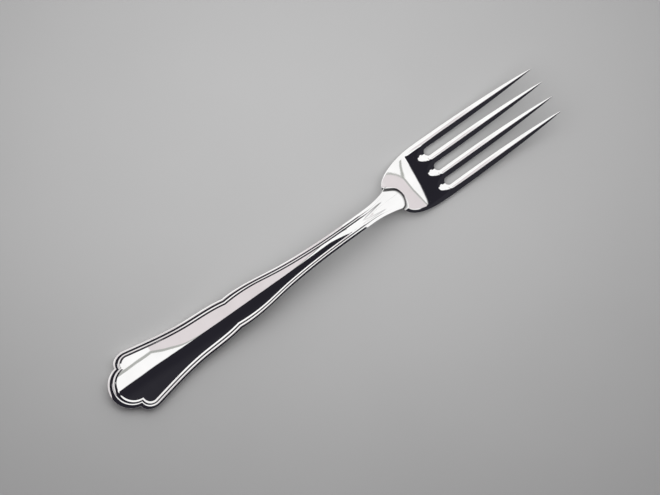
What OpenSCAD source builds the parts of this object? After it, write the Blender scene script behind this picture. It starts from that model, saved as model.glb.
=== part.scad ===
// Dessert fork with a lobed, stepped handle, a double-thread border and four tines.
// It lies on its back, tines up: x runs from the handle to the tines, y across, z up from the table.
// The origin is on the table, under the middle of the fork's length.

/* [Handle outline] */
// Radius of the round lobe at the handle's end
lobe_r = 7.9; // [6.5:0.1:9.5]
// Angle, seen from the lobe's centre, from the end to the notch beside the lobe
notch_angle = 80.5; // [70:0.5:88]
// Distance from the notch to the widest point of the ear behind it
ear_l = 3.4; // [2.8:0.1:5]
// Width of the handle across its two ears
handle_w = 22.3; // [19:0.1:26]
// Distance from the handle's end to the step in its outline
blade_l = 49.8; // [42:0.1:60]
// Distance from the blade's waist to the step
blade_waist_l = 14; // [8:0.5:20]
// Width of the blade at its waist
blade_waist_w = 14.6; // [12.5:0.1:17]
// Width of the handle at the step
step_w = 12.1; // [9.5:0.1:14]
// Distance from the step to the middle of the stem's taper
taper_l = 22.2; // [14:0.1:30]
// Width of the stem at the middle of its taper
taper_w = 8.3; // [7:0.1:9.5]
// Distance from the step to the narrowest point of the neck
stem_l = 56.2; // [46:0.1:66]
// Width of the neck at its narrowest point
neck_w = 5.8; // [5:0.1:7.5]
// Distance from the narrowest point of the neck to the shoulder
flare_l = 11.2; // [8:0.1:14]
// Width of the neck where it meets the shoulder
shoulder_w = 9.5; // [8:0.1:12]
// How far the rounded end of the neck reaches over the head
shoulder_bulge = 2.5; // [1.5:0.1:4]

/* [Thread border] */
// Width of the double-thread border on the blade
border_w = 2.4; // [1.8:0.05:2.7]
// Width of the border at the very end of the lobe
border_end_w = 2.8; // [1.8:0.05:3.4]
// Width of the border on the neck
border_neck_w = 1.8; // [1.4:0.05:2.2]
// Height of each thread above the field of the handle
thread_h = 0.42; // [0.2:0.02:0.7]
// Distance before the shoulder over which the threads and the ridge die away
fade_l = 16; // [10:0.5:24]

/* [Head and tines] */
// Greatest width of the head
head_w = 21.7; // [18:0.1:25]
// Distance from the shoulder to the roots of the slots
head_l = 16.8; // [14:0.1:24]
// Size of the hollow in the outline where the head leaves the neck
shoulder_hollow = 0.3; // [0.1:0.05:1]
// Length of the head's straight sides, up to the roots of the slots
head_straight_l = 1.8; // [0.5:0.1:6]
// Length of the inner tines from the roots of the slots to their points
tine_l = 46; // [36:0.1:56]
// How much shorter the outer tines are
tine_stagger = 0.5; // [0:0.1:2]
// Width of a slot at its root
slot_w = 2.75; // [2:0.05:3.4]
// Distance between the centre lines of neighbouring slots
slot_pitch = 6.05; // [5.2:0.05:6.5]
// Distance of the outer tines' points from the fork's centre line
outer_tip_y = 8.7; // [7:0.1:9.5]
// Distance of the inner tines' points from the fork's centre line
inner_tip_y = 2.98; // [2:0.02:3.8]
// Width of a tine at its point
tip_w = 0.4; // [0.3:0.05:1]
// How late the tines narrow along their length
tine_taper = 2.6; // [1.5:0.1:4]
// Length of the flute that runs from each slot into the head
flute_l = 3.4; // [2:0.1:5]

/* [Side profile] */
// Length of the flat on the back of the handle's end, on which the handle rests
rest_l = 22; // [12:0.5:30]
// Height of the back of the neck above the table
arch_h = 9; // [6:0.1:13]
// Distance from the highest point of the neck to the shoulder
crest_l = 20.2; // [14:0.1:28]
// Distance from the shoulder to the middle of the flat on which the head rests
low_l = 11.8; // [8:0.1:14]
// Length of that flat
head_rest_l = 4; // [1:0.1:6]
// Height of the tines' points above the table, measured at their backs
tip_h = 9.4; // [5:0.1:14]
// Slope of the tines at their points
tip_slope = 0.33; // [0.1:0.01:0.6]

/* [Thickness] */
// Thickness along the ridge at the handle's end
end_t = 2.9; // [2.2:0.1:4]
// Thickness along the ridge at the neck
neck_t = 3.6; // [2.8:0.1:4.6]
// Thickness of the neck's rounded end
shoulder_t = 2.9; // [2.4:0.1:3.8]
// How far the neck's rounded end falls at its sides
crown_h = 0.45; // [0.1:0.05:0.8]
// Drop from the neck's rounded end to the head
shoulder_drop = 0.45; // [0.2:0.05:0.9]
// Thickness of the head at the roots of the slots
root_t = 2.1; // [1.6:0.1:3]
// Thickness of a tine at its point
tip_t = 0.7; // [0.5:0.1:1.5]
// Share of a tine's thickness that is left at its rounded edges
edge_share = 0.35; // [0.2:0.01:0.6]
// Fall of the roof-shaped face, per millimetre across, on the blade
blade_roof = 0.09; // [0.04:0.01:0.14]
// Fall of the roof-shaped face, per millimetre across, on the neck
neck_roof = 0.2; // [0.08:0.01:0.3]
// How far the back of the neck rounds up at its sides
belly_h = 0.9; // [0.3:0.1:1.3]
// Radius of the lower edges of the handle
edge_r = 0.6; // [0.3:0.1:0.9]

/* [Hidden] */
silver = [0.88, 0.87, 0.86];

// Distances from the handle's end
step_x = blade_l;
waist_x = step_x + stem_l;
shoulder_x = waist_x + flare_l;
fade_x = shoulder_x - fade_l;
neck_x = shoulder_x - flare_l / 3;
root_x = shoulder_x + head_l;
tip_x = root_x + tine_l;
crest_x = shoulder_x - crest_l;
low_x = shoulder_x + low_l;
fork_l = tip_x;

// Slopes of the outline, across over along
ear_fall = -0.2;
blade_waist_fall = -0.06;
step_rise = 0.09;
taper_fall = -0.105;
shoulder_rise = 0.35;

// Numbers of facets
lobe_n = 12;
ear_n = 7;
blade_n = 15;
stem_n = 17;
neck_n = 6;
head_n = 12;
slot_n = 5;
tine_n = 14;
thread_n = 4;
tine_columns = 6;
field_n = 4 * tine_columns - 4 * thread_n;

// Interpolation
function mix(a, b, t) = a + (b - a) * t;
function ease(t) = let (c = max(0, min(1, t))) c * c * (3 - 2 * c);
function span(knots, x, i = 0) =
    i >= len(knots) - 2 || x <= knots[i + 1][0] ? i : span(knots, x, i + 1);
function hermite(a, b, x) =
    let (h = b[0] - a[0], t = (x - a[0]) / h)
    (2 * t ^ 3 - 3 * t ^ 2 + 1) * a[1] + (t ^ 3 - 2 * t ^ 2 + t) * h * a[2]
    + (3 * t ^ 2 - 2 * t ^ 3) * b[1] + (t ^ 3 - t ^ 2) * h * b[2];
// Smooth curve through knots, each of which is [distance, value, slope]
function curve(knots, x) = let (i = span(knots, x)) hermite(knots[i], knots[i + 1], x);

// Notch beside the lobe, and the same corner on the inner edge of the border
notch = lobe_r * [1 - cos(notch_angle), sin(notch_angle)];
lobe_inward = [cos(notch_angle), -sin(notch_angle)];
notch_mitre = (lobe_inward + [1, 0]) / (1 + lobe_inward.x);
inner_notch = notch + border_w * notch_mitre;

// Ear: part of an ellipse from the notch to the long side of the blade
ear_c = notch + [ear_l, 0];
ear_h = handle_w / 2 - notch.y;
ear_end_angle = atan2(ear_h / ear_l, -ear_fall);
ear_end = ear_c + [ear_l * cos(ear_end_angle), ear_h * sin(ear_end_angle)];

// Half widths along the blade and along the stem
blade_side = [
    [ear_end.x, ear_end.y, ear_fall],
    [step_x - blade_waist_l, blade_waist_w / 2, blade_waist_fall],
    [step_x, step_w / 2, ear_fall]
];
stem_side = [
    [step_x, step_w / 2, step_rise],
    [step_x + taper_l, taper_w / 2, taper_fall],
    [waist_x, neck_w / 2, 0],
    [shoulder_x, shoulder_w / 2, shoulder_rise]
];
border_side = [[step_x, border_w, 0], [waist_x, border_neck_w, 0]];
function border_at(x) = x < step_x ? border_w : curve(border_side, min(x, waist_x));

// Side profile: height of the back and thickness, by distance from the handle's end
back_line = [
    [0, 0, 0],
    [rest_l, 0, 0],
    [crest_x, arch_h, 0],
    [low_x - head_rest_l / 2, 0, 0],
    [low_x + head_rest_l / 2, 0, 0],
    [tip_x, tip_h, tip_slope]
];
handle_line = [[0, end_t, 0], [crest_x, neck_t, 0], [shoulder_x + shoulder_bulge, shoulder_t, 0]];
head_line = [
    [shoulder_x, shoulder_t - shoulder_drop, 0],
    [root_x, root_t, 0],
    [tip_x, tip_t, 0]
];
roof_line = [[0, blade_roof, 0], [step_x, blade_roof, 0], [crest_x, neck_roof, 0]];
belly_line = [[0, 0, 0], [rest_l, 0, 0], [crest_x, belly_h, 0], [root_x - flute_l, 0, 0]];
function fade(x) = 1 - ease((x - fade_x) / fade_l);
function belly(x) = x > root_x - flute_l ? 0 : curve(belly_line, x);

// Top of the handle: a roof that falls from the ridge, with two threads along the border;
// towards the shoulder the roof and the threads give way to a low crown
function handle_top(x, y, half_w, depth) =
    curve(back_line, x) + curve(handle_line, x)
    - curve(roof_line, min(x, crest_x)) * abs(y) * fade(x)
    - crown_h * (y / half_w) ^ 2 * (1 - fade(x))
    + thread_h * abs(sin(360 * depth)) * fade(x);
// Back of the handle: flat at its end, rounder towards the neck, with rounded lower edges
function handle_back(x, y, half_w, inset) =
    let (left = max(0, edge_r - inset))
    curve(back_line, x) + belly(x) * (y / half_w) ^ 2 + edge_r - sqrt(edge_r ^ 2 - left ^ 2);

// Columns of points across the handle at one place on its outline: [along, across, share of the border]
function handle_columns(outer, inner) =
    let (right = [for (j = [0 : 2 * thread_n]) let (s = j / (2 * thread_n)) [each mix(outer, inner, s), s]],
         field = [for (j = [1 : field_n - 1]) [inner.x, inner.y * (1 - 2 * j / field_n), 1]],
         left = [for (j = [2 * thread_n : -1 : 0]) let (c = right[j]) [c[0], -c[1], c[2]]])
    concat(right, field, left);
// One row of the handle: [along, across, top, back]; bulge rounds the row in plan
function handle_row(outer, inner, bulge = 0) =
    let (border = norm(outer - inner), half_w = max(outer.y, border))
    [for (c = handle_columns(outer, inner))
        let (x = c[0] + bulge * (1 - (c[1] / half_w) ^ 2))
        [x, c[1], handle_top(x, c[1], half_w, c[2]), handle_back(x, c[1], half_w, c[2] * border)]];
// One row across the stem or the neck
function stem_row(x, bulge = 0) =
    let (half_w = curve(stem_side, x))
    handle_row([x, half_w], [x, half_w - border_at(x)], bulge);

// Rows round the lobe, from the handle's end to the notch
inner_c = (inner_notch * inner_notch - border_end_w ^ 2) / (2 * (inner_notch.x - border_end_w));
inner_r = inner_c - border_end_w;
inner_angle = atan2(inner_notch.y, inner_c - inner_notch.x);
function lobe_row(s) =
    let (a = s * notch_angle, b = s * inner_angle)
    handle_row(lobe_r * [1 - cos(a), sin(a)], [inner_c - inner_r * cos(b), inner_r * sin(b)]);
// Rows round the ear, from the notch to the long side
function ear_row(s) =
    let (a = mix(180, ear_end_angle, s),
         inner_start = ear_c - [ear_l - border_w, 0],
         inner = ear_c + [(ear_l - border_w) * cos(a), (ear_h - border_w) * sin(a)])
    handle_row(ear_c + [ear_l * cos(a), ear_h * sin(a)],
               inner + (inner_notch - inner_start) * (1 - s) ^ 2);
// Rows along the blade: the border leans with the outline at the ear and is square at the step
function blade_row(s) =
    let (x = mix(ear_end.x, step_x, s), half_w = curve(blade_side, x), lean = ear_fall * (1 - s))
    handle_row([x, half_w], [x, half_w] + border_w * [lean, -1] / norm([lean, 1]));

// Half width of the head: its shoulders are quarter ellipses with a small hollow at the neck
function head_half(x) =
    let (d = x - shoulder_x,
         t = max(0, 1 - d / (head_l - head_straight_l)))
    shoulder_w / 2 + (head_w - shoulder_w) / 2 * sqrt(1 - t ^ 2) * d / (d + shoulder_hollow)
        * (head_l + shoulder_hollow) / head_l;

// Tines, numbered from left to right: side lines at the root and the place of the point
tine_left = [head_w / 2, slot_pitch, 0, -slot_pitch];
tine_right = [slot_pitch, 0, -slot_pitch, -head_w / 2];
tine_point = [outer_tip_y, inner_tip_y, -inner_tip_y, -outer_tip_y];
tine_short = [tine_stagger, 0, 0, tine_stagger];
function outer_side(y) = abs(y) > slot_pitch * 1.001;
// Half width of a slot at a distance behind its root, round at the root
function slot_half(d) = let (r = slot_w / 2, e = max(0, r - d)) sqrt(r ^ 2 - e ^ 2);
// Left and right edge of a tine, at a distance behind the slots' roots
function tine_edges(n, d) =
    let (length = tine_l - tine_short[n],
         s = min(1, d / length),
         root_left = tine_left[n] - (outer_side(tine_left[n]) ? 0 : slot_half(d)),
         root_right = tine_right[n] + (outer_side(tine_right[n]) ? 0 : slot_half(d)),
         middle = mix((root_left + root_right) / 2, tine_point[n], s),
         half = mix((root_left - root_right) / 2, tip_w / 2, s ^ tine_taper))
    [middle + half, middle - half];

// Rounded section of a tine: share of the full thickness at a place from -1 to 1 across it
function tine_round(q) = edge_share + (1 - edge_share) * sqrt(max(0, 1 - q * q));
function tine_places() = [for (j = [0 : tine_columns]) cos(180 * j / tine_columns)];
function slab_point(x, y, thick, share, lift = 0) =
    let (z = curve(back_line, x))
    [x, y, z + thick * (1 + share) / 2, z + thick * (1 - share) / 2 + lift];
function tine_row(n, d) =
    let (x = root_x + d, edges = tine_edges(n, d), thick = curve(head_line, x))
    [for (q = tine_places())
        slab_point(x, mix(edges[1], edges[0], (1 + q) / 2), thick, tine_round(q))];

// Columns across the head: [share of the half width, place across the tine behind it, tine]
head_columns = [
    for (n = [0 : 3]) for (j = [(n == 0 ? 0 : 1) : tine_columns])
        let (q = tine_places()[j])
        [mix(tine_right[n], tine_left[n], (1 + q) / 2) / (head_w / 2), q, n]
];
neck_columns = [for (c = stem_row(shoulder_x)) c[1] / (shoulder_w / 2)];
// One row across the head: it starts round, against the end of the neck, and ends square at the slots
function head_row(s) =
    let (x0 = mix(shoulder_x, root_x, s), half_w = head_half(x0))
    [for (j = [0 : len(head_columns) - 1])
        let (c = head_columns[j],
             y = half_w * mix(neck_columns[j], c[0], s),
             x = x0 + shoulder_bulge * (1 - s) * (1 - (y / half_w) ^ 2),
             at_side = (c[2] == 0 && c[1] > 0) || (c[2] == 3 && c[1] < 0),
             flute = at_side ? 1 : ease((x - root_x + flute_l) / flute_l),
             share = 1 - (1 - tine_round(c[1])) * flute)
        slab_point(x, y, curve(head_line, x), share, belly(x) * (y / half_w) ^ 2 * (1 - s))];

// Solid between the tops and the backs of rows of columns; a folded first row closes a rounded end
module slab(rows, folded = false) {
    m = len(rows[0]);
    last = len(rows) - 1;
    points = [for (row = rows) for (c = row) each [[c[0], c[1], c[2]], [c[0], c[1], c[3]]]];
    function fold(j) = min(j, m - 1 - j, 2 * thread_n);
    function top(i, j) = 2 * (m * i + (folded && i == 0 ? fold(j) : j));
    function back(i, j) = top(i, j) + 1;
    quads = concat(
        [for (i = [0 : last - 1]) for (j = [0 : m - 2])
            [top(i, j), top(i + 1, j), top(i + 1, j + 1), top(i, j + 1)]],
        [for (i = [0 : last - 1]) for (j = [0 : m - 2])
            [back(i, j), back(i, j + 1), back(i + 1, j + 1), back(i + 1, j)]],
        [for (i = [0 : last - 1]) [top(i, 0), back(i, 0), back(i + 1, 0), top(i + 1, 0)]],
        [for (i = [0 : last - 1])
            [top(i, m - 1), top(i + 1, m - 1), back(i + 1, m - 1), back(i, m - 1)]],
        folded ? [] : [for (j = [0 : m - 2]) [top(0, j), top(0, j + 1), back(0, j + 1), back(0, j)]],
        [for (j = [0 : m - 2]) [top(last, j), back(last, j), back(last, j + 1), top(last, j + 1)]]
    );
    faces = [
        for (q = quads) for (f = [[q[0], q[1], q[2]], [q[0], q[2], q[3]]])
            if (f[0] != f[1] && f[1] != f[2] && f[2] != f[0]) f
    ];
    translate([-fork_l / 2, 0, 0]) polyhedron(points, faces);
}

// Broad end of the handle, from its lobe to the step
module handle_blade() {
    rows = concat(
        [for (i = [0 : lobe_n]) lobe_row(i / lobe_n)],
        [for (i = [1 : ear_n]) ear_row(i / ear_n)],
        [for (i = [1 : blade_n]) blade_row(i / blade_n)]
    );
    color(silver) slab(rows, folded = true);
}

// Tapering part of the handle, from the step to where the threads have died away
module handle_stem() {
    color(silver) slab([for (i = [0 : stem_n]) stem_row(mix(step_x, neck_x, i / stem_n))]);
}

// Flared neck, which ends in a raised, rounded shoulder on the head
module neck() {
    color(silver) slab([
        for (i = [0 : neck_n]) let (s = i / neck_n)
            stem_row(mix(neck_x, shoulder_x, s), shoulder_bulge * s)
    ]);
}

// Plate of the head, from the shoulder to the roots of the slots
module head() {
    color(silver) slab([for (i = [0 : head_n]) head_row((1 - cos(180 * i / head_n)) / 2)]);
}

// One tapering tine, with half of the round root of the slot on each side
module tine(n) {
    length = tine_l - tine_short[n];
    slot_r = slot_w / 2;
    rows = concat(
        [for (i = [0 : slot_n]) tine_row(n, slot_r * (1 - cos(90 * i / slot_n)))],
        [for (i = [1 : tine_n]) tine_row(n, mix(slot_r, length, sin(90 * i / tine_n)))]
    );
    color(silver) slab(rows);
}

handle_blade();
handle_stem();
neck();
head();
tine(0);  // tine_1
tine(1);  // tine_2
tine(2);  // tine_3
tine(3);  // tine_4
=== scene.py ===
"""Looks of a dessert fork: mirror-polished silver on a plain pale table under a soft studio sky.

Lengths in the shape functions are millimetres from the end of the handle; meshes are in metres.
"""

import math

import bpy
import numpy as np
from mathutils import Matrix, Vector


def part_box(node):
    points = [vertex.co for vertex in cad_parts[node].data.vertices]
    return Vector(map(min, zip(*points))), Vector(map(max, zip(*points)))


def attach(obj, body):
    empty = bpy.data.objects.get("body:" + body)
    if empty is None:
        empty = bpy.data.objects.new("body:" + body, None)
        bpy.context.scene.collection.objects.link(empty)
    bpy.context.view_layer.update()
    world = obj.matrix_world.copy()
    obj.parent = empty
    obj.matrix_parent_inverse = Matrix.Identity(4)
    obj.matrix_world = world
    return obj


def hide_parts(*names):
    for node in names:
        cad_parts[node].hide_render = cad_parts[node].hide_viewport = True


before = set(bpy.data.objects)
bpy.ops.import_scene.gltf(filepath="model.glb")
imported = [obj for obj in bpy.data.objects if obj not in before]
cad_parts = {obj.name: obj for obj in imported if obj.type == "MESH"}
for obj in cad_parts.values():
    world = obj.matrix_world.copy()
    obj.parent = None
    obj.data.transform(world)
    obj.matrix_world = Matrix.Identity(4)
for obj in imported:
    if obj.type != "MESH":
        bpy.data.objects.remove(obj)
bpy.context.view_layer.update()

MM = 0.001
HANDLE_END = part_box("handle_blade")[0][0]


def reach(node):
    """Distance of a node's far end from the end of the handle, in millimetres."""
    return (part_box(node)[1][0] - HANDLE_END) / MM


def width(node):
    """Width of a node across the fork, in millimetres."""
    low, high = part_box(node)
    return (high[1] - low[1]) / MM


# Lengths and widths that come from the frame
STEP_X = reach("handle_blade")
NECK_X = reach("handle_stem")
ROOT_X = reach("head")
TIP_X = reach("tine_2")
OUTER_TIP_X = reach("tine_1")
SHOULDER_X = (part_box("head")[0][0] - HANDLE_END) / MM
HANDLE_W = width("handle_blade")
HEAD_W = width("head")
SHOULDER_W = width("neck")
HEAD_L = ROOT_X - SHOULDER_X

# Outline of the handle
LOBE_R = 7.9
NOTCH_ANGLE = math.radians(80.5)
EAR_L = 4.7
EAR_FALL = -0.2
BLADE_WAIST_L = 14.0
BLADE_WAIST_W = 14.6
BLADE_WAIST_FALL = -0.06
STEP_W = 12.1
STEP_RISE = 0.09
TAPER_L = 22.2
TAPER_W = 8.3
TAPER_FALL = -0.105
WAIST_X = STEP_X + 56.2
NECK_W = 5.8
SHOULDER_RISE = 0.35

# Line of the shoulder: how far it bulges towards the tines, then as shares of that, how far it leans and how
# far its left part is swept back; both die away next to the sides
SHOULDER_BULGE = 2.5
SHOULDER_LEAN = 0.5
SHOULDER_SWEEP = 0.68
SHOULDER_SWEEP_FROM = 0.3
SHOULDER_SWEEP_TO = 0.9
SHOULDER_END_POWER = 24

# Border with its two threads, and the fine line between them
BORDER_W = 2.3
BORDER_END_W = 3.3
BORDER_STEM_W = 1.88
BORDER_TAPER_L = 14.0
THREAD_H = 0.1
# Strength of the dark colour in the fine line between the threads: tarnish and painted shade
THREAD_TARNISH_AND_SHADE = 0.4
LINE_DEPTH = 0.06
CREVICE_W = 0.1
FADE_L = 16.0

# Roof of the handle: its ridge, its roundness, the more level border at its foot, and where it dies away
RIDGE_SOFTNESS = 0.5
RIDGE_TURN_X = 89.5
RIDGE_TURN_L = 10.0
RIDGE_TURN_W = 1.3
ROOF_ROUND = 0.55
LOBE_ROOF_W = 8.3
BORDER_TILT = 0.2
FOOT_W = 0.6
ROOF_END_X = 111.0
ROOF_FADE_L = 11.0

# Edges of the handle
EDGE_INSET = 0.06
EDGE_R = 0.6
SIDE_SWING = math.radians(65)

# Fine lines that bound the pointed end of the smooth neck; the strength of their dark colour on the left and
# on the right, tarnish and painted shade, darker on the left as painted shade
SPEAR_X = 103.5
SPEAR_END_X = 111.6
SPEAR_HALF_W = 1.35
SPEAR_DEPTH = 0.05
SPEAR_LINE_W = 0.16
SPEAR_FADE_L = 1.2
SPEAR_GROWTH = 0.7
SPEAR_TARNISH_AND_SHADE = (1.0, 0.5)

# Threads as shares of the border's width, along the blade, round the lobe and along the neck: where the
# outer one reaches its top, where it leaves it, where the groove between the two lies; then the height of
# the inner one as a share of the outer one's, and how far its top leans inwards. The neck's values set in
# from NECK_THREAD_X on, over NECK_THREAD_L
OUTER_RISE = (0.26, 0.21, 0.38)
OUTER_FALL = (0.31, 0.45, 0.40)
GROOVE_PLACE = (0.55, 0.56, 0.58)
INNER_THREAD = (0.85, 0.6, 0.85)
INNER_LEAN = (1.5, 1.1, 1.0)
NECK_THREAD_X = 60.0
NECK_THREAD_L = 28.0

# Head and tines
HEAD_STRAIGHT_L = 1.8
SHOULDER_HOLLOW = 0.3
SHOULDER_POWER = 2.35
SLOT_W = 2.75
SLOT_PITCH = 6.05
OUTER_TIP_Y = 8.7
INNER_TIP_Y = 2.98
TIP_W = 0.4
TINE_TAPER = 2.6
TIP_ROUND_L = 0.6
TIP_CLOSING = 0.97
FLUTE_L = 3.1
FLUTE_NOSE_W = 1.0
FLUTE_HALF_W = 2.4
FLUTE_BLEND_L = 1.2
FLUTE_FLOOR = 0.3
TINE_WALL = 0.35
HEAD_WALL = 0.75
RIM_W = 1.35
RIDGE_L = 8.0
SECTION_POWER = 1.3
HEAD_EDGE_W = 0.3
HEAD_CROWN = 0.08
CROWN_FADE_L = 15.0

# Side profile and thickness
REST_L = 22.0
SWEEP_LEAD = 3.0
ARCH_H = 9.0
CREST_X = SHOULDER_X - 20.2
LOW_X = SHOULDER_X + 11.8
HEAD_REST_L = 4.0
TIP_H = 9.4
TIP_SLOPE = 0.33
END_T = 2.9
NECK_T = 3.58
SHOULDER_T = 2.9
SHOULDER_FALL = -0.08
SHOULDER_DROP = 0.45
SHOULDER_EDGE_R = 0.3
GROOVE_DEPTH = 0.22
GROOVE_W = 0.28
CROWN_H = 0.45
ROOT_T = 2.1
TIP_T = 0.7
BLADE_ROOF = 0.07
NECK_ROOF = 0.065
BELLY_H = 0.9

# Numbers of rows along the fork and of columns across it
LOBE_ROWS = 48
EAR_ROWS = 30
BLADE_ROWS = 90
STEM_ROWS = 130
NECK_ROWS = 44
HEAD_ROWS = 70
SLOT_ROWS = 16
TINE_ROWS = 96
FIELD_COLUMNS = 20
BORDER_COLUMNS = 25
SIDE_POINTS = 7
TINE_COLUMNS = 18

# Points that agree to this many digits of a millimetre count as one point
MERGE_DIGITS = 5

# Least length by which a normal is divided
LEAST_LENGTH = 1e-12


def mix(a, b, t):
    """Linear interpolation."""
    return a + (b - a) * t


def ease(t):
    """Smooth step from 0 to 1."""
    c = np.clip(t, 0.0, 1.0)
    return c * c * (3.0 - 2.0 * c)


def curve(knots, x):
    """Smooth curve through knots, each of which is (distance, value, slope)."""
    table = np.array(knots)
    x = np.asarray(x, dtype=float)
    i = np.clip(np.searchsorted(table[:, 0], x, side="left") - 1, 0, len(table) - 2)
    a, b = table[i], table[i + 1]
    h = b[..., 0] - a[..., 0]
    t = (x - a[..., 0]) / h
    start = (2 * t**3 - 3 * t**2 + 1) * a[..., 1] + (t**3 - 2 * t**2 + t) * h * a[..., 2]
    return start + (3 * t**2 - 2 * t**3) * b[..., 1] + (t**3 - t**2) * h * b[..., 2]


# Side profile by distance from the handle's end: the back with its two level rests, the sweep of the
# upper side without them, thickness, roof and belly
BACK_LINE = [
    (0.0, 0.0, 0.0),
    (REST_L, 0.0, 0.0),
    (CREST_X, ARCH_H, 0.0),
    (LOW_X - HEAD_REST_L / 2, 0.0, 0.0),
    (LOW_X + HEAD_REST_L / 2, 0.0, 0.0),
    (TIP_X, TIP_H, TIP_SLOPE),
]
SWEEP_LINE = [
    (0.0, 0.0, 0.0),
    (REST_L - SWEEP_LEAD, 0.0, 0.0),
    (CREST_X, ARCH_H, 0.0),
    (LOW_X, 0.0, 0.0),
    (TIP_X, TIP_H, TIP_SLOPE),
]
HANDLE_LINE = [
    (0.0, END_T, 0.0),
    (CREST_X, NECK_T, 0.0),
    (SHOULDER_X + SHOULDER_BULGE, SHOULDER_T, SHOULDER_FALL),
]
HEAD_LINE = [
    (SHOULDER_X, SHOULDER_T - SHOULDER_DROP, 0.0),
    (ROOT_X, ROOT_T, 0.0),
    (TIP_X, TIP_T, 0.0),
]
ROOF_LINE = [(0.0, BLADE_ROOF, 0.0), (STEP_X, BLADE_ROOF, 0.0), (CREST_X, NECK_ROOF, 0.0)]
BELLY_LINE = [(0.0, 0.0, 0.0), (REST_L, 0.0, 0.0), (CREST_X, BELLY_H, 0.0), (ROOT_X - FLUTE_L, 0.0, 0.0)]


def fade(x):
    """Strength of the threads and the ridge, which die away before the shoulder."""
    return 1.0 - ease((x - SHOULDER_X + FADE_L) / FADE_L)


def belly(x):
    """How far the back rounds up at its sides."""
    return curve(BELLY_LINE, np.minimum(x, ROOT_X - FLUTE_L))


def lobe_outline(s):
    """Outer and inner edge of the border round the lobe, s from 0 at the end to 1 at the notch."""
    notch = LOBE_R * np.array([1 - math.cos(NOTCH_ANGLE), math.sin(NOTCH_ANGLE)])
    inward = np.array([math.cos(NOTCH_ANGLE), -math.sin(NOTCH_ANGLE)])
    mitre = (inward + np.array([1.0, 0.0])) / (1.0 + inward[0])
    inner_notch = notch + BORDER_W * mitre
    centre = (inner_notch @ inner_notch - BORDER_END_W**2) / (2 * (inner_notch[0] - BORDER_END_W))
    inner_r = centre - BORDER_END_W
    inner_angle = math.atan2(inner_notch[1], centre - inner_notch[0])
    a, b = s * NOTCH_ANGLE, s * inner_angle
    outer = LOBE_R * np.stack([1 - np.cos(a), np.sin(a)], axis=-1)
    inner = np.stack([centre - inner_r * np.cos(b), inner_r * np.sin(b)], axis=-1)
    return outer, inner


def ear_outline(s):
    """Outer and inner edge of the border round the ear, s from 0 at the notch to 1 at the long side."""
    notch, inner_notch = (line[0] for line in lobe_outline(np.array([1.0])))
    centre = notch + np.array([EAR_L, 0.0])
    ear_h = HANDLE_W / 2 - notch[1]
    end_angle = math.atan2(ear_h / EAR_L, -EAR_FALL)
    a = mix(math.pi, end_angle, s)
    outer = centre + np.stack([EAR_L * np.cos(a), ear_h * np.sin(a)], axis=-1)
    inner = centre + np.stack([(EAR_L - BORDER_W) * np.cos(a), (ear_h - BORDER_W) * np.sin(a)], axis=-1)
    inner_start = centre - np.array([EAR_L - BORDER_W, 0.0])
    return outer, inner + (inner_notch - inner_start) * ((1 - s) ** 2)[:, None]


def blade_outline(s):
    """Outer and inner edge of the border along the blade, s from 0 at the ear to 1 at the step."""
    ear_end = ear_outline(np.array([1.0]))[0][0]
    side = [
        (ear_end[0], ear_end[1], EAR_FALL),
        (STEP_X - BLADE_WAIST_L, BLADE_WAIST_W / 2, BLADE_WAIST_FALL),
        (STEP_X, STEP_W / 2, EAR_FALL),
    ]
    x = mix(ear_end[0], STEP_X, s)
    outer = np.stack([x, curve(side, x)], axis=-1)
    lean = np.stack([EAR_FALL * (1 - s), -np.ones_like(s)], axis=-1)
    return outer, outer + BORDER_W * lean / np.linalg.norm(lean, axis=1, keepdims=True)


def stem_outline(x):
    """Outer and inner edge of the border along the stem and the neck."""
    side = [
        (STEP_X, STEP_W / 2, STEP_RISE),
        (STEP_X + TAPER_L, TAPER_W / 2, TAPER_FALL),
        (WAIST_X, NECK_W / 2, 0.0),
        (SHOULDER_X, SHOULDER_W / 2, SHOULDER_RISE),
    ]
    border = mix(BORDER_W, BORDER_STEM_W, ease((x - STEP_X) / BORDER_TAPER_L))
    half_w = curve(side, x)
    return np.stack([x, half_w], axis=-1), np.stack([x, half_w - border], axis=-1)


def shoulder_curve(share):
    """Bulge of the shoulder's line at a share of its half width: round, leaning back on the left."""
    swept = ease((share - SHOULDER_SWEEP_FROM) / (SHOULDER_SWEEP_TO - SHOULDER_SWEEP_FROM))
    lean = SHOULDER_LEAN * share + SHOULDER_SWEEP * swept
    return 1 - share**2 - lean * (1 - share**SHOULDER_END_POWER)


def handle_rows():
    """Border edges, bulge and share of the lobe's threads for each row, and the last row of each part."""
    blade = [
        lobe_outline(np.linspace(0, 1, LOBE_ROWS)),
        ear_outline(np.linspace(0, 1, EAR_ROWS)[1:]),
        blade_outline(np.linspace(0, 1, BLADE_ROWS)[1:]),
    ]
    stem_x = np.linspace(STEP_X, NECK_X, STEM_ROWS)[1:]
    neck_x = mix(NECK_X, SHOULDER_X, 1 - (1 - np.linspace(0, 1, NECK_ROWS)[1:]) ** 2)
    parts = blade + [stem_outline(stem_x), stem_outline(neck_x)]
    outer = np.concatenate([part[0] for part in parts])
    inner = np.concatenate([part[1] for part in parts])
    bulge = SHOULDER_BULGE * np.clip((outer[:, 0] - NECK_X) / (SHOULDER_X - NECK_X), 0, 1)
    lobe = 1 - ease((np.arange(len(outer)) - LOBE_ROWS) / EAR_ROWS)
    blade_last = sum(len(part[0]) for part in blade) - 1
    return outer, inner, bulge, lobe, (blade_last, blade_last + len(stem_x))


def thread_share(shares, lobe, x):
    """One of the threads' shares, for rows that lie at x and belong to the lobe by the given amount."""
    side, end, neck = shares
    return mix(mix(side, end, lobe), neck, ease((x - NECK_THREAD_X) / NECK_THREAD_L))


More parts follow.
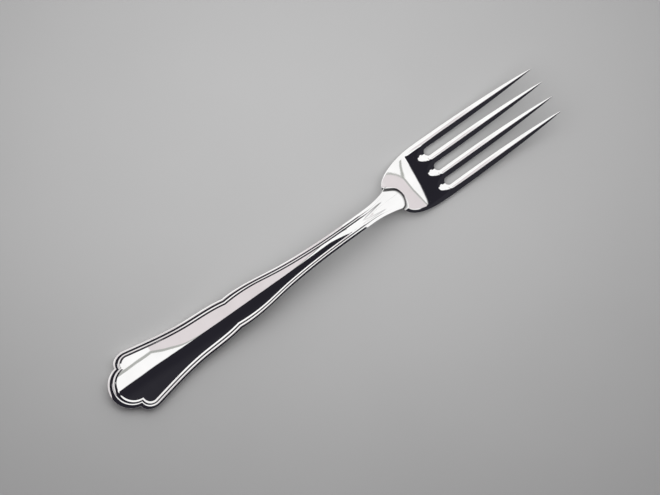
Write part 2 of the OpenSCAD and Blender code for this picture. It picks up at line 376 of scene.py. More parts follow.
def thread_height(depth, rise, fall, groove, inner_h, lean):
    """Height of the two threads at a share of the border's width: a flat-topped one and a round one."""
    up = np.sin(math.pi / 2 * np.clip(depth / rise, 0, 1))
    down = np.cos(math.pi / 2 * np.clip((depth - fall) / (groove - fall), 0, 1))
    inner = inner_h * np.sin(math.pi * np.clip((depth - groove) / (1 - groove), 0, 1) ** lean)
    return THREAD_H * np.where(depth < groove, np.minimum(up, down), inner)


def handle_top(x, y, half_w, field_w, foot, thread):
    """Top of the handle: a soft rounded roof inside a level border, and a crown at the shoulder.

    The ridge of the roof lies in the middle and runs out towards the right before the neck.
    """
    ridge_y = -RIDGE_TURN_W * ease((x - RIDGE_TURN_X) / RIDGE_TURN_L)
    in_field = np.abs(np.clip(y, -field_w, field_w) - ridge_y)
    arc_w = mix(LOBE_ROOF_W, np.minimum(half_w, LOBE_ROOF_W), ease((x - LOBE_R - EAR_L) / EAR_L))
    fall = mix(np.hypot(in_field, RIDGE_SOFTNESS), in_field**2 / arc_w, ROOF_ROUND)
    fall = fall * mix(1.0, BORDER_TILT, foot)
    roof = curve(ROOF_LINE, np.minimum(x, CREST_X)) * fall
    roof = roof * (1 - ease((x - ROOF_END_X + ROOF_FADE_L) / ROOF_FADE_L))
    crown = CROWN_H * (y / half_w) ** 2 * (1 - fade(x))
    return curve(SWEEP_LINE, x) + curve(HANDLE_LINE, x) + thread * fade(x) - roof - crown


def handle_back(x, y, half_w, inset):
    """Back of the handle: flat at its end, rounder towards the neck, with rounded lower edges."""
    left = np.maximum(0.0, EDGE_R - inset)
    lift = EDGE_R - np.sqrt(EDGE_R**2 - left**2)
    return curve(BACK_LINE, x) + belly(x) * (y / half_w) ** 2 + lift


def rounded_fall(distance, radius):
    """Fall of a rounded edge at a distance from its end."""
    left = np.maximum(0.0, radius - np.maximum(distance, 0.0))
    return radius - np.sqrt(radius**2 - left**2)


def spear_line(x, y, field_w):
    """Strength of the fine lines round the pointed end of the neck and the last stretch of the field."""
    t = np.clip((x - SPEAR_X) / (SPEAR_END_X - SPEAR_X), 0, 1)
    to_spear = np.abs(np.abs(y) - SPEAR_HALF_W * t)
    to_field = np.abs(np.abs(y) - mix(field_w, SPEAR_HALF_W, t))
    near = np.exp(-((np.minimum(to_spear, to_field) / SPEAR_LINE_W) ** 2))
    return near * t**SPEAR_GROWTH * (1 - ease((x - SPEAR_END_X) / SPEAR_FADE_L))


def mirrored(half, sign=1):
    """Columns of the right-hand half, then those of the left-hand half; the middle one is taken once."""
    return np.concatenate([half, sign * half[:, -2::-1]], axis=1)


def handle_columns(outer, inner, border, groove):
    """Points across each row, from the right-hand edge to the left-hand edge: both borders and the field.

    They come with the share of the border's width and the distance from the edge at each of them.
    """
    outward = (outer - inner) / border
    step = np.linspace(0, 2, BORDER_COLUMNS)[None, :]
    depth = np.where(step < 1, step * groove, mix(groove, 1.0, step - 1))
    inset = mix(EDGE_INSET, border, depth)
    across = (1 + np.cos(np.linspace(0, math.pi, FIELD_COLUMNS)[1:])) / 2
    field_x = np.repeat(inner[:, :1], len(across), axis=1)
    half_x = np.concatenate([outer[:, :1] - outward[:, :1] * inset, field_x], axis=1)
    half_y = np.concatenate([outer[:, 1:] - outward[:, 1:] * inset, inner[:, 1:] * across], axis=1)
    half_depth = np.concatenate([depth, np.ones_like(field_x)], axis=1)
    half_inset = np.concatenate([inset, border + np.zeros_like(field_x)], axis=1)
    return mirrored(half_x), mirrored(half_y, -1), mirrored(half_depth), mirrored(half_inset)


def handle_sides(x, y, top, back, outward):
    """Rounded sides between the edges of the top and the back: the left-hand one and the right-hand one."""
    swing = np.linspace(SIDE_SWING, -SIDE_SWING, SIDE_POINTS + 2)[1:-1]
    swell = EDGE_INSET * (np.cos(swing) - math.cos(SIDE_SWING)) / (1 - math.cos(SIDE_SWING))
    rise = np.sin(swing) / math.sin(SIDE_SWING)
    middle = (top[:, :1] + back[:, :1]) / 2
    side_z = middle + (top[:, :1] - back[:, :1]) / 2 * rise[None, :]
    right_x = x[:, :1] + outward[:, :1] * swell[None, :]
    right_y = y[:, :1] + outward[:, 1:] * swell[None, :]
    left_side = np.stack([right_x, -right_y, side_z], axis=-1)
    right_side = np.stack([right_x, right_y, side_z], axis=-1)[:, ::-1]
    return left_side, right_side


def handle_grid():
    """Rings of points round the handle, one for each row, with the strength of the dark colour painted into
    the crevices, tarnish and painted shade, at each point.
    """
    outer, inner, bulge, lobe, ends = handle_rows()
    row_x = outer[:, :1]
    field_w = inner[:, 1:]
    border = np.linalg.norm(outer - inner, axis=1)[:, None]
    half_w = np.maximum(outer[:, 1:], border)
    shares = (OUTER_RISE, OUTER_FALL, GROOVE_PLACE, INNER_THREAD, INNER_LEAN)
    rise, fall, groove, inner_h, lean = (thread_share(share, lobe[:, None], row_x) for share in shares)
    x, y, depth, inset = handle_columns(outer, inner, border, groove)
    x = x + bulge[:, None] * shoulder_curve(np.clip(y / (half_w - EDGE_INSET), -1, 1))

    # Top and back: threads with a fine line between them, the fine lines of the neck, the shoulder's edge
    line = np.exp(-((np.abs(depth - groove) * border / CREVICE_W) ** 2))
    thread = thread_height(depth, rise, fall, groove, inner_h, lean) - LINE_DEPTH * line
    foot = ease((1 - depth) * border / FOOT_W)
    spear = spear_line(x, y, field_w)
    to_end = np.where(row_x > NECK_X, SHOULDER_X - row_x, SHOULDER_EDGE_R)
    top = handle_top(x, y, half_w, field_w, foot, thread) - rounded_fall(to_end, SHOULDER_EDGE_R)
    top = top - SPEAR_DEPTH * spear
    back = handle_back(x, y, half_w, inset)
    upper = np.stack([x, y, top], axis=-1)
    lower = np.stack([x, y, back], axis=-1)[:, ::-1]
    left_side, right_side = handle_sides(x, y, top, back, (outer - inner) / border)
    rings = np.concatenate([upper, left_side, lower, right_side], axis=1)

    # Crevices, painted dark as tarnish and painted shade: the line between the two threads, the fine lines of
    # the neck, and the shoulder, whose dark arc is painted shade
    shoulder = np.exp(-(((SHOULDER_X - row_x) / GROOVE_W) ** 2))
    between = THREAD_TARNISH_AND_SHADE * line * fade(x)
    beside = np.where(y > 0, *SPEAR_TARNISH_AND_SHADE) * spear
    columns = x.shape[1]
    crevice = np.zeros(rings.shape[:2])
    crevice[:, :columns] = np.maximum(np.maximum(between, beside), shoulder)
    return rings, crevice, columns, ends


def head_half(x):
    """Half width of the head: quarter-ellipse shoulders with a small hollow at the neck."""
    d = x - SHOULDER_X
    t = np.maximum(0.0, 1 - d / (HEAD_L - HEAD_STRAIGHT_L))
    full = (HEAD_L + SHOULDER_HOLLOW) / HEAD_L
    swell = (1 - t**SHOULDER_POWER) ** (1 / SHOULDER_POWER) * d / (d + SHOULDER_HOLLOW) * full
    return SHOULDER_W / 2 + (HEAD_W - SHOULDER_W) / 2 * swell


# Tines from left to right: sides at the root, place and length of the point
TINE_LEFT = [HEAD_W / 2, SLOT_PITCH, 0.0, -SLOT_PITCH]
TINE_RIGHT = [SLOT_PITCH, 0.0, -SLOT_PITCH, -HEAD_W / 2]
TINE_POINT = [OUTER_TIP_Y, INNER_TIP_Y, -INNER_TIP_Y, -OUTER_TIP_Y]
TINE_END = [OUTER_TIP_X, TIP_X, TIP_X, OUTER_TIP_X]
TINES = len(TINE_END)
SLOT_Y = [SLOT_PITCH, 0.0, -SLOT_PITCH]
SLOT_R = SLOT_W / 2
TINE_HALF = (SLOT_PITCH - SLOT_W) / 2
PLACES = np.cos(np.linspace(0, math.pi, TINE_COLUMNS + 1))


def rounding(distance, reach_in, wall=TINE_WALL):
    """Share of the thickness at a distance from an edge: an upright wall, then a rounding."""
    q = 1 - np.clip(distance / reach_in, 0, 1)
    return wall + (1 - wall) * (1 - q**SECTION_POWER) ** (1 / SECTION_POWER)


def head_crown(y):
    """Fall of the head's top towards its sides, nearly level in the middle."""
    share = (2 * y / HEAD_W) ** 2
    return HEAD_CROWN * (share + share**2) / 2


def fluting(x, y):
    """Depth of the flutes that lead into the slots: funnels that widen and deepen towards them."""
    t = np.clip((x - ROOT_X + FLUTE_L) / FLUTE_L, 0, 1)
    w = np.min([np.abs(y - slot_y) for slot_y in SLOT_Y], axis=0)
    across = (1 - np.clip(w / mix(FLUTE_NOSE_W, FLUTE_HALF_W, t), 0, 1) ** 2) ** 2
    return (1 - FLUTE_FLOOR) * across * ease(t)


def plate(x, y, thick, share, crown, lift=0.0):
    """Rings round a plate that has the given thickness and share of it at each point."""
    upper = np.stack([x, y, curve(SWEEP_LINE, x) + thick * (1 + share) / 2 - crown], axis=-1)
    lower = np.stack([x, y, curve(BACK_LINE, x) + thick * (1 - share) / 2 + lift], axis=-1)
    return np.concatenate([upper, lower[:, ::-1]], axis=1)


def head_grid():
    """Rings of points round the head, from the shoulder to the roots of the slots."""
    share_y = [mix(TINE_RIGHT[n], TINE_LEFT[n], (1 + PLACES) / 2) for n in range(TINES)]
    share_y = np.concatenate([share_y[0]] + [part[1:] for part in share_y[1:]]) / (HEAD_W / 2)
    s = ((1 - np.cos(np.linspace(0, math.pi, HEAD_ROWS))) / 2)[:, None]
    x0 = mix(SHOULDER_X, ROOT_X, s)
    half_w = head_half(x0)
    y = half_w * share_y
    x = x0 + SHOULDER_BULGE * (1 - s) * shoulder_curve(share_y)
    side = rounding(half_w - np.abs(y), mix(HEAD_EDGE_W, TINE_HALF, s), mix(HEAD_WALL, TINE_WALL, s))
    share = np.minimum(side, 1 - fluting(x, y))
    crown = head_crown(y)
    rings = plate(x, y, curve(HEAD_LINE, x), share, crown, belly(x) * share_y**2 * (1 - s))
    # The shoulder's groove also takes the dark crevice colour: painted shade with some tarnish
    groove = np.exp(-(((x0 - SHOULDER_X) / GROOVE_W) ** 2)) * np.ones_like(y)
    columns = y.shape[1]
    rings[:, :columns, 2] -= GROOVE_DEPTH * groove
    crevice = np.zeros(rings.shape[:2])
    crevice[:, :columns] = groove
    return rings, crevice, columns


def tine_grid(n, head_rings):
    """Rings of points round one tine, from the roots of the slots to its point."""
    length = TINE_END[n] - ROOT_X
    d_slot = SLOT_R * (1 - np.cos(np.linspace(0, math.pi / 2, SLOT_ROWS)))
    d_tine = mix(SLOT_R, length, np.sin(np.linspace(0, math.pi / 2, TINE_ROWS))[1:])
    d = np.concatenate([d_slot, d_tine])[:, None]
    slot_half = np.sqrt(SLOT_R**2 - np.maximum(0.0, SLOT_R - d) ** 2)
    left = TINE_LEFT[n] - (0.0 if n == 0 else slot_half)
    right = TINE_RIGHT[n] + (0.0 if n == TINES - 1 else slot_half)
    s = d / length
    middle = mix((left + right) / 2, TINE_POINT[n], s)
    half = mix((left - right) / 2, TIP_W / 2, s**TINE_TAPER)
    x = ROOT_X + d + np.zeros_like(PLACES)
    y = middle + half * PLACES

    # Section: that of the head at the root, then rounded from the tine's own sides, which grow to a ridge
    at_root = np.minimum(rounding(HEAD_W / 2 - np.abs(y), TINE_HALF), 1 - fluting(x, y))
    growing = mix(RIM_W, half, ease(d / RIDGE_L))
    left_side = rounding(half * (1 - PLACES), half if n == 0 else growing)
    right_side = rounding(half * (1 + PLACES), half if n == TINES - 1 else growing)
    share = mix(at_root, np.minimum(left_side, right_side), ease(d / FLUTE_BLEND_L))

    # Point: the section closes in over a short length
    closing = np.clip((d - length + TIP_ROUND_L) / TIP_ROUND_L, 0, 1)
    size = np.sqrt(1 - TIP_CLOSING * closing**2)
    thick = curve(HEAD_LINE, x)
    crown = head_crown(y) * (1 - ease(d / CROWN_FADE_L))
    rings = plate(x, middle + half * size * PLACES, thick * size, share, crown)
    rings[:, :, 2] += thick[:, :1] * (1 - size) / 2

    # The first ring is the head's own edge, so that the two meet without a gap
    first = n * TINE_COLUMNS
    upper = head_rings[-1, first : first + TINE_COLUMNS + 1]
    lower = head_rings[-1, ::-1][first : first + TINE_COLUMNS + 1]
    rings[0] = np.concatenate([upper, lower[::-1]])
    return rings, np.zeros(rings.shape[:2])


def ring_faces(rows, ring):
    """Quads between neighbouring rings, as indices into the flattened rings."""
    i, j = np.meshgrid(np.arange(rows - 1), np.arange(ring), indexing="ij")
    k = (j + 1) % ring
    quads = np.stack([i * ring + j, i * ring + k, (i + 1) * ring + k, (i + 1) * ring + j], axis=-1)
    return quads.reshape(-1, 4)


def smooth_normals(grids):
    """Normals at the points of all grids, averaged over the faces of neighbouring grids as well."""
    points = np.concatenate([grid.reshape(-1, 3) for grid in grids])
    faces, start = [], 0
    for grid in grids:
        faces.append(ring_faces(*grid.shape[:2]) + start)
        start += grid.shape[0] * grid.shape[1]
    faces = np.concatenate(faces)
    corners = points[faces]
    normal = np.cross(corners[:, 2] - corners[:, 0], corners[:, 3] - corners[:, 1])
    _, same = np.unique(np.round(points, MERGE_DIGITS) + 0.0, axis=0, return_inverse=True)
    same = same.reshape(-1)
    total = np.zeros((same.max() + 1, 3))
    for k in range(faces.shape[1]):
        np.add.at(total, same[faces[:, k]], normal)
    total /= np.maximum(np.linalg.norm(total, axis=1, keepdims=True), LEAST_LENGTH)
    split = np.cumsum([grid.shape[0] * grid.shape[1] for grid in grids])[:-1]
    return np.split(total[same], split)


def cap_faces(ring, columns, first, flip):
    """Quads that close one end of a solid: strips between the top and the back, and the rounded sides."""
    side = (ring - 2 * columns) // 2
    top = first + np.arange(columns)
    back = first + 2 * columns + side - 1 - np.arange(columns)
    faces = [[top[j], top[j + 1], back[j + 1], back[j]] for j in range(columns - 1)]
    if side:
        faces.append(list(range(first + columns - 1, first + columns + side + 1)))
        faces.append(list(range(first + 2 * columns + side - 1, first + ring)) + [first])
    return [face[::-1] if flip else face for face in faces]


def make_piece(node, rings, crevice, normals, columns, material, closed_start=False):
    """Closed mesh round the rings, which replaces a node of the frame."""
    rows, ring = rings.shape[:2]
    points = rings.reshape(-1, 3) * MM + np.array([HANDLE_END, 0.0, 0.0])
    faces = ring_faces(rows, ring).tolist()
    if not closed_start:
        faces += cap_faces(ring, columns, 0, flip=True)
    faces += cap_faces(ring, columns, (rows - 1) * ring, flip=False)

    # Points that coincide at a closed end become one point
    rounded = np.round(points / MM, MERGE_DIGITS) + 0.0
    _, keep, same = np.unique(rounded, axis=0, return_index=True, return_inverse=True)
    same = same.reshape(-1)
    merged = []
    for face in faces:
        corners = []
        for index in face:
            corner = int(same[index])
            if corner not in corners:
                corners.append(corner)
        if len(corners) > 2:
            merged.append(corners)
    mesh = bpy.data.meshes.new(node + "_mesh")
    mesh.from_pydata(points[keep].tolist(), [], merged)
    mesh.polygons.foreach_set("use_smooth", [True] * len(mesh.polygons))
    attribute = mesh.attributes.new("crevice", "FLOAT", "POINT")
    attribute.data.foreach_set("value", crevice.reshape(-1)[keep].astype(np.float32))
    mesh.validate()
    mesh.normals_split_custom_set_from_vertices(normals[keep].tolist())
    mesh.materials.append(material)
    piece = bpy.data.objects.new(node + "_silver", mesh)
    bpy.context.scene.collection.objects.link(piece)
    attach(piece, "root")
    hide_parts(node)


def add_node(tree, kind, **values):
    """New node with its properties set by name."""
    node = tree.nodes.new(kind)
    for key, value in values.items():
        setattr(node, key, value)
    return node


def math_node(tree, operation, a, b=None, clamp=False):
    """Math node on two values or sockets; returns its output."""
    node = add_node(tree, "ShaderNodeMath", operation=operation, use_clamp=clamp)
    for socket, value in zip(node.inputs, (a, b)):
        if value is None:
            continue
        if isinstance(value, (int, float)):
            socket.default_value = value
        else:
            tree.links.new(value, socket)
    return node.outputs[0]


def map_range(tree, value, low, high, to_low=0.0, to_high=1.0, kind="LINEAR"):
    """Value taken from one range to another; returns its output."""
    node = add_node(tree, "ShaderNodeMapRange", interpolation_type=kind)
    tree.links.new(value, node.inputs["Value"])
    limits = {"From Min": low, "From Max": high, "To Min": to_low, "To Max": to_high}
    for name, limit in limits.items():
        node.inputs[name].default_value = limit
    return node.outputs["Result"]


def soft_step(tree, value, low, high):
    """Smooth 0 to 1 as value goes from low to high; returns its output."""
    return map_range(tree, value, low, high, kind="SMOOTHSTEP")


# Colour sockets of a mix node, by number
MIX_INPUTS = (6, 7)
MIX_OUTPUT = 2


def blend_colour(tree, factor, a, b):
    """Mix of two colours or colour sockets by a factor socket; returns its output."""
    node = add_node(tree, "ShaderNodeMix", data_type="RGBA")
    tree.links.new(factor, node.inputs["Factor"])
    for number, value in zip(MIX_INPUTS, (a, b)):
        if isinstance(value, tuple):
            node.inputs[number].default_value = (*value, 1.0)
        else:
            tree.links.new(value, node.inputs[number])
    return node.outputs[MIX_OUTPUT]


def noise(tree, vector, scale, detail):
    """Noise texture on a vector socket; returns its factor output."""
    node = add_node(tree, "ShaderNodeTexNoise")
    tree.links.new(vector, node.inputs["Vector"])
    node.inputs["Scale"].default_value = scale
    node.inputs["Detail"].default_value = detail
    return node.outputs["Fac"]


def bump(tree, height, strength, distance, normal=None):
    """Bump node over a height socket, on an earlier normal if there is one; returns its normal output."""
    node = add_node(tree, "ShaderNodeBump")
    node.inputs["Strength"].default_value = strength
    node.inputs["Distance"].default_value = distance
    tree.links.new(height, node.inputs["Height"])
    if normal:
        tree.links.new(normal, node.inputs["Normal"])
    return node.outputs["Normal"]


# Silver: clean and worn colours, and a near-black colour for the crevices, partly tarnish and partly painted
# shade
SILVER = (0.955, 0.95, 0.945)
SILVER_WORN = (0.90, 0.895, 0.89)
# Near-black colour painted into the crevices: tarnish and painted shade
TARNISH_AND_SHADE = (0.035, 0.033, 0.036)
TARNISH_AND_SHADE_COVER = 0.9

# Smudges, which also dull the silver a little, by the range of their noise
SMUDGE_SCALE = 90.0
SMUDGE_DETAIL = 4.0
WORN_RANGE = (0.35, 0.75)
DULL_RANGE = (0.3, 0.7)
ROUGHNESS_RANGE = (0.008, 0.025)
CREVICE_ROUGHNESS = 0.4

# Polishing waves and wiping marks; heights in metres
WAVE_SCALE = 110.0
WAVE_DETAIL = 1.0
WAVE_STRENGTH = 0.2
WAVE_H = 0.00006
WIPING_SCALE = 9000.0
WIPING_DETAIL = 2.0
WIPING_STRETCH = (0.05, 1.0, 1.0)
WIPING_STRENGTH = 0.03
WIPING_H = 0.00001


def silver_material():
    """Polished silver: faint hand-polishing waves, wiping marks along the fork, tarnish and painted shade in
    the crevices.
    """
    material = bpy.data.materials.new("polished_silver")
    material.use_nodes = True
    tree = material.node_tree
    shader = tree.nodes["Principled BSDF"]
    shader.inputs["Metallic"].default_value = 1.0
    place = add_node(tree, "ShaderNodeTexCoord").outputs["Object"]
    crevice = add_node(tree, "ShaderNodeAttribute", attribute_name="crevice").outputs["Fac"]

    smudge = noise(tree, place, SMUDGE_SCALE, SMUDGE_DETAIL)
    worn = blend_colour(tree, soft_step(tree, smudge, *WORN_RANGE), SILVER, SILVER_WORN)
    # Crevices darkened: partly tarnish, partly painted shade
    tarnish_and_shade = math_node(tree, "MULTIPLY", crevice, TARNISH_AND_SHADE_COVER, clamp=True)
    tree.links.new(blend_colour(tree, tarnish_and_shade, worn, TARNISH_AND_SHADE), shader.inputs["Base Color"])

    gloss = map_range(tree, smudge, *DULL_RANGE, *ROUGHNESS_RANGE)
    dull = math_node(tree, "MULTIPLY", crevice, CREVICE_ROUGHNESS)
    tree.links.new(math_node(tree, "ADD", gloss, dull), shader.inputs["Roughness"])

    stretch = add_node(tree, "ShaderNodeMapping")
    stretch.inputs["Scale"].default_value = WIPING_STRETCH
    tree.links.new(place, stretch.inputs["Vector"])
    waves = noise(tree, place, WAVE_SCALE, WAVE_DETAIL)
    wiping = noise(tree, stretch.outputs["Vector"], WIPING_SCALE, WIPING_DETAIL)
    polish = bump(tree, waves, WAVE_STRENGTH, WAVE_H)
    scratches = bump(tree, wiping, WIPING_STRENGTH, WIPING_H, polish)
    tree.links.new(scratches, shader.inputs["Normal"])
    return material


def make_fork():
    """All pieces of the fork, each in the place of its node."""
    silver = silver_material()
    handle, handle_crevice, top_columns, (blade_last, stem_last) = handle_grid()
    head, head_crevice, head_columns = head_grid()
    tines = [tine_grid(n, head) for n in range(TINES)]
    normals = smooth_normals([handle, head] + [tine[0] for tine in tines])

    handle_normals = normals[0].reshape(handle.shape)
    spans = {
        "handle_blade": slice(0, blade_last + 1),
        "handle_stem": slice(blade_last, stem_last + 1),
        "neck": slice(stem_last, len(handle)),
    }
    for node, rows in spans.items():
        make_piece(
            node, handle[rows], handle_crevice[rows], handle_normals[rows].reshape(-1, 3),
            top_columns, silver, closed_start=node == "handle_blade",
        )
    make_piece("head", head, head_crevice, normals[1], head_columns, silver)
    for n, (rings, crevice) in enumerate(tines):
        make_piece(f"tine_{n + 1}", rings, crevice, normals[2 + n], TINE_COLUMNS + 1, silver)


# Picture, in pixels, and the camera, in metres and radians: the fork lies with its handle at the lower left
PICTURE_W = 660
FORK_PIXELS = 533.5
FORK_TILT = math.radians(35.51)
CAMERA_HEIGHT = 1.5
LOOK_Z = 0.004
CAMERA_LEAN = 0.03
CENTRE_SHIFT = (-0.00035, -0.00114)


def over_picture(right, up, height):
    """Place above a point of the picture, given from its middle, facing straight down."""
    c, s = math.cos(FORK_TILT), math.sin(FORK_TILT)
    x = CENTRE_SHIFT[0] + c * right + s * up
    y = CENTRE_SHIFT[1] - s * right + c * up
    return Matrix(((c, s, 0.0, x), (-s, c, 0.0, y), (0.0, 0.0, 1.0, height), (0.0, 0.0, 0.0, 1.0)))


def make_camera():
    """Camera above the fork, leaning a little to its left and turned so that it lies as in the picture."""
    data = bpy.data.cameras.new("camera")
    camera = bpy.data.objects.new("camera", data)
    bpy.context.scene.collection.objects.link(camera)
    aim = Matrix.Translation((*CENTRE_SHIFT, LOOK_Z))
    lean = aim @ Matrix.Rotation(-CAMERA_LEAN, 4, "X") @ aim.inverted()
    camera.matrix_world = lean @ over_picture(0.0, 0.0, CAMERA_HEIGHT)
    picture_width = PICTURE_W * TIP_X * MM / FORK_PIXELS
    data.sensor_fit = "HORIZONTAL"
    data.angle = 2 * math.atan(picture_width / 2 / (CAMERA_HEIGHT - LOOK_Z))
    bpy.context.scene.camera = camera


# Table top: its two shades, and the clouds by which they change
FLOOR_COLOUR = (0.386, 0.386, 0.386)
FLOOR_DARKER = (0.37442, 0.37442, 0.37442)
FLOOR_ROUGHNESS = 0.7
FLOOR_SPECULAR = 0.2
CLOUD_SCALE = 12.0
CLOUD_DETAIL = 3.0
CLOUD_RANGE = (0.3, 0.7)
FLOOR_SIZE = 6.0


def make_floor():
    """Plain pale table top with faint clouds."""
    material = bpy.data.materials.new("pale_table")
    material.use_nodes = True
    tree = material.node_tree
    shader = tree.nodes["Principled BSDF"]
    place = add_node(tree, "ShaderNodeTexCoord").outputs["Object"]
    cloud = soft_step(tree, noise(tree, place, CLOUD_SCALE, CLOUD_DETAIL), *CLOUD_RANGE)
    tree.links.new(blend_colour(tree, cloud, FLOOR_DARKER, FLOOR_COLOUR), shader.inputs["Base Color"])
    shader.inputs["Roughness"].default_value = FLOOR_ROUGHNESS
    shader.inputs["Specular IOR Level"].default_value = FLOOR_SPECULAR
    half = FLOOR_SIZE / 2
    mesh = bpy.data.meshes.new("table_top")
    corners = [(-half, -half, 0.0), (half, -half, 0.0), (half, half, 0.0), (-half, half, 0.0)]
    mesh.from_pydata(corners, [], [(0, 1, 2, 3)])
    mesh.materials.append(material)
    floor = bpy.data.objects.new("table_top", mesh)
    bpy.context.scene.collection.objects.link(floor)


# Studio sky, by direction: along is the share of a direction along the fork towards the tines, across its
# share across the fork to the right, less the lean of the camera. The SOFT values are half widths of edges
SKY_WHITE = (1.03, 1.03, 1.03)
SKY_PALE = (0.77, 0.72, 0.735)
SKY_LINE = (0.45, 0.46, 0.44)
SKY_DARK = (0.027, 0.026, 0.033)
SKY_DARKEST = (0.019, 0.018, 0.0245)
BACKDROP = (0.45, 0.45, 0.45)
BACKDROP_TOP = 0.08
BACKDROP_SOFT = 0.02

# Dark side, right of a line that turns overhead and bulges to the left ahead; it is darkest next to that line
DARK_EDGE = -0.0654
DARK_SOFT = 0.004
DARK_TURN_AHEAD = 0.22
DARK_TURN_BEHIND = -0.088
DARK_BULGE = 0.026
DARK_BULGE_FROM = 0.12
DARK_BULGE_FROM_SOFT = 0.04
DARK_BULGE_TO = 0.2
DARK_BULGE_TO_SOFT = 0.02
DARK_END = 0.55
DARK_END_SOFT = 0.02
DARK_SPREAD_FROM = 0.45
DARK_SPREAD = 2.0
DARKEST_W = 0.1444
DARKEST_FADE_W = 0.06

# Pale panel behind the handle, with a slanting edge and a gap along it
NEAR_EDGE = -0.163
NEAR_SOFT = 0.004
NEAR_TURN = 0.56
NEAR_CORNER = -0.075
NEAR_CORNER_SOFT = 0.003
NEAR_LEFT = -0.315
NEAR_LEFT_SOFT = 0.015
NEAR_GAP_HALF = 0.0085
NEAR_GAP_SOFT = 0.3 * NEAR_GAP_HALF
NEAR_GAP_END = 0.11
NEAR_GAP_END_SOFT = 0.01

# Pale strip far to the left, which the flanks of the tines mirror near their roots
SIDE_RIGHT = -0.25
SIDE_LEFT = -0.6
SIDE_LEFT_SOFT = 0.02
SIDE_NEAR = -0.22
SIDE_AHEAD = 0.05
SIDE_SOFT = 0.05

# Pale panel ahead of the head, with a corner from which one gap runs on towards overhead
AHEAD_EDGE = 0.508
AHEAD_SOFT = 0.003
AHEAD_TURN = 2.4
AHEAD_END = 0.70
AHEAD_END_SOFT = 0.01
AHEAD_HALF = 0.05
AHEAD_HALF_SOFT = 0.02
CORNER_ACROSS = -0.008
CORNER_RISE = 4.5
CORNER_FALL = 8.3
GAP_HALF = 0.015
GAP_SOFT = 0.003
LONG_GAP_HALF = 0.03
LONG_GAP_SOFT = 0.006
LONG_GAP_START = 0.0005
LONG_GAP_END = 0.2
LONG_GAP_END_SOFT = 0.02


def edge(tree, value, place, soft):
    """Smooth 0 to 1 about a place, or 1 to 0 where soft is negative; returns its output."""
    return soft_step(tree, value, place - soft, place + soft)


def band(tree, value, half, soft):
    """1 where a value is nearer to 0 than half, else 0, with soft edges; returns its output."""
    return edge(tree, math_node(tree, "ABSOLUTE", value), half, -soft)


def joined(tree, operation, *factors):
    """Factors joined by one operation, one after the other; returns its output."""
    result = factors[0]
    for factor in factors[1:]:
        result = math_node(tree, operation, result, factor)
    return result


def dark_side(tree, along, across):
    """Where the dark side lies, and how far a direction is beyond its edge."""
    turn_ahead = math_node(tree, "MULTIPLY", math_node(tree, "MAXIMUM", along, 0.0), DARK_TURN_AHEAD)
    turn_behind = math_node(tree, "MULTIPLY", math_node(tree, "MINIMUM", along, 0.0), DARK_TURN_BEHIND)
    beyond = joined(tree, "SUBTRACT", across, turn_ahead, turn_behind)
    bulge = math_node(
        tree, "MULTIPLY",
        edge(tree, along, DARK_BULGE_FROM, DARK_BULGE_FROM_SOFT),
        edge(tree, along, DARK_BULGE_TO, -DARK_BULGE_TO_SOFT),
    )
    beyond = math_node(tree, "ADD", beyond, math_node(tree, "MULTIPLY", bulge, DARK_BULGE))
    spread = math_node(tree, "MAXIMUM", math_node(tree, "SUBTRACT", across, DARK_SPREAD_FROM), 0.0)
    ahead = math_node(tree, "SUBTRACT", along, math_node(tree, "MULTIPLY", spread, DARK_SPREAD))
    right = edge(tree, beyond, DARK_EDGE, DARK_SOFT)
    dark = math_node(tree, "MULTIPLY", right, edge(tree, ahead, DARK_END, -DARK_END_SOFT))
    return dark, beyond


def panel_behind(tree, along, across):
    """Where the pale panel behind the handle lies, and the gap along its edge."""
    slant = math_node(tree, "MAXIMUM", math_node(tree, "SUBTRACT", NEAR_CORNER, along), 0.0)
    slant = math_node(tree, "MULTIPLY", slant, NEAR_TURN)
    from_edge = joined(tree, "SUBTRACT", across, NEAR_EDGE, slant)
    panel = joined(
        tree, "MULTIPLY",
        edge(tree, from_edge, 0.0, -NEAR_SOFT),
        edge(tree, along, NEAR_CORNER - NEAR_CORNER_SOFT, -NEAR_CORNER_SOFT),
        edge(tree, across, NEAR_LEFT, NEAR_LEFT_SOFT),
    )
    gap = band(tree, from_edge, NEAR_GAP_HALF, NEAR_GAP_SOFT)
    gap = math_node(tree, "MULTIPLY", gap, edge(tree, along, NEAR_GAP_END, -NEAR_GAP_END_SOFT))
    return panel, gap


def strip_beside(tree, along, across):
    """Where the pale strip far to the left lies."""
    return joined(
        tree, "MULTIPLY",
        edge(tree, across, SIDE_RIGHT, -SIDE_SOFT),
        edge(tree, across, SIDE_LEFT, SIDE_LEFT_SOFT),
        edge(tree, along, SIDE_NEAR, SIDE_SOFT),
        edge(tree, along, SIDE_AHEAD, -SIDE_SOFT),
    )


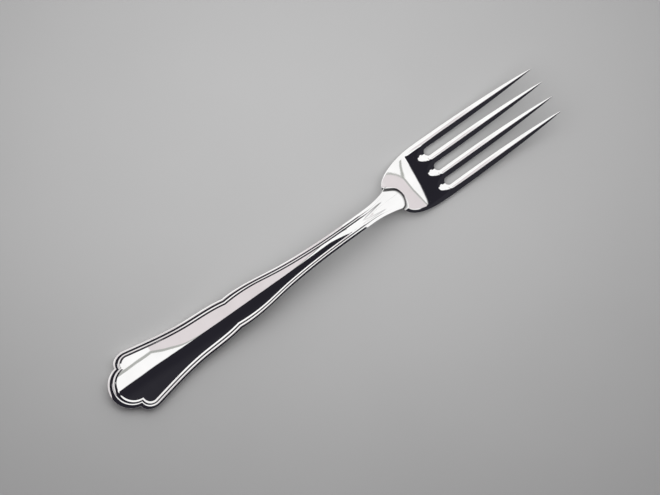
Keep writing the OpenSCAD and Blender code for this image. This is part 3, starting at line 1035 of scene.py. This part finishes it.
def panel_ahead(tree, along, across):
    """Where the pale panel ahead of the head lies, and the gaps along its edge and on from its corner."""
    past = math_node(tree, "MAXIMUM", math_node(tree, "SUBTRACT", CORNER_ACROSS, across), 0.0)
    from_edge = math_node(tree, "SUBTRACT", along, AHEAD_EDGE)
    from_edge = math_node(tree, "ADD", from_edge, math_node(tree, "MULTIPLY", across, AHEAD_TURN))
    from_panel = math_node(tree, "SUBTRACT", from_edge, math_node(tree, "MULTIPLY", past, CORNER_RISE))
    from_gap = math_node(tree, "ADD", from_edge, math_node(tree, "MULTIPLY", past, CORNER_FALL))
    wide = band(tree, across, AHEAD_HALF, AHEAD_HALF_SOFT)
    panel = joined(
        tree, "MULTIPLY",
        edge(tree, from_panel, 0.0, AHEAD_SOFT),
        edge(tree, along, AHEAD_END, -AHEAD_END_SOFT),
        wide,
    )
    long_gap = joined(
        tree, "MULTIPLY",
        band(tree, from_gap, LONG_GAP_HALF, LONG_GAP_SOFT),
        edge(tree, past, LONG_GAP_START, LONG_GAP_START),
        edge(tree, along, LONG_GAP_END, LONG_GAP_END_SOFT),
    )
    gap = math_node(tree, "MAXIMUM", band(tree, from_panel, GAP_HALF, GAP_SOFT), long_gap)
    return panel, math_node(tree, "MULTIPLY", gap, wide)


def make_sky():
    """Soft studio all round: white and pale panels on the left and ahead, a dark side on the right."""
    world = bpy.data.worlds.new("studio")
    bpy.context.scene.world = world
    world.use_nodes = True
    tree = world.node_tree
    direction = add_node(tree, "ShaderNodeTexCoord").outputs["Generated"]
    split = add_node(tree, "ShaderNodeSeparateXYZ")
    tree.links.new(direction, split.inputs[0])
    along = split.outputs["X"]
    across = math_node(tree, "SUBTRACT", -CAMERA_LEAN, split.outputs["Y"])
    dark, beyond = dark_side(tree, along, across)
    behind, gap_behind = panel_behind(tree, along, across)
    ahead, gap_ahead = panel_ahead(tree, along, across)
    beside = strip_beside(tree, along, across)

    # Panels on white, gaps on the panels, then the dark side, and a plain backdrop at the horizon
    pale = joined(tree, "MAXIMUM", behind, ahead, beside)
    colour = blend_colour(tree, pale, SKY_WHITE, SKY_PALE)
    colour = blend_colour(tree, math_node(tree, "MAXIMUM", gap_behind, gap_ahead), colour, SKY_LINE)
    darkest_end = DARK_EDGE + DARKEST_W
    depth = soft_step(tree, beyond, darkest_end, darkest_end + DARKEST_FADE_W)
    colour = blend_colour(tree, dark, colour, blend_colour(tree, depth, SKY_DARKEST, SKY_DARK))
    low = edge(tree, split.outputs["Z"], BACKDROP_TOP, -BACKDROP_SOFT)
    colour = blend_colour(tree, low, colour, BACKDROP)
    tree.links.new(colour, tree.nodes["Background"].inputs["Color"])


# Soft lamp, placed from the middle of the picture, in metres and watts
LAMP_RIGHT = -0.011
LAMP_UP = 0.0475
LAMP_HEIGHT = 0.139
LAMP_W = 0.239
LAMP_H = 0.151
LAMP_POWER = 0.25


def make_lamp():
    """Broad soft lamp over the upper part of the picture, which brightens the table there."""
    data = bpy.data.lights.new("soft_lamp", "AREA")
    data.shape = "RECTANGLE"
    data.size = LAMP_W
    data.size_y = LAMP_H
    data.energy = LAMP_POWER
    lamp = bpy.data.objects.new("soft_lamp", data)
    bpy.context.scene.collection.objects.link(lamp)
    lamp.matrix_world = over_picture(LAMP_RIGHT, LAMP_UP, LAMP_HEIGHT)
    lamp.visible_glossy = False
    lamp.visible_camera = False


make_fork()
make_floor()
make_sky()
make_lamp()
make_camera()
bpy.context.scene.view_settings.view_transform = "Standard"
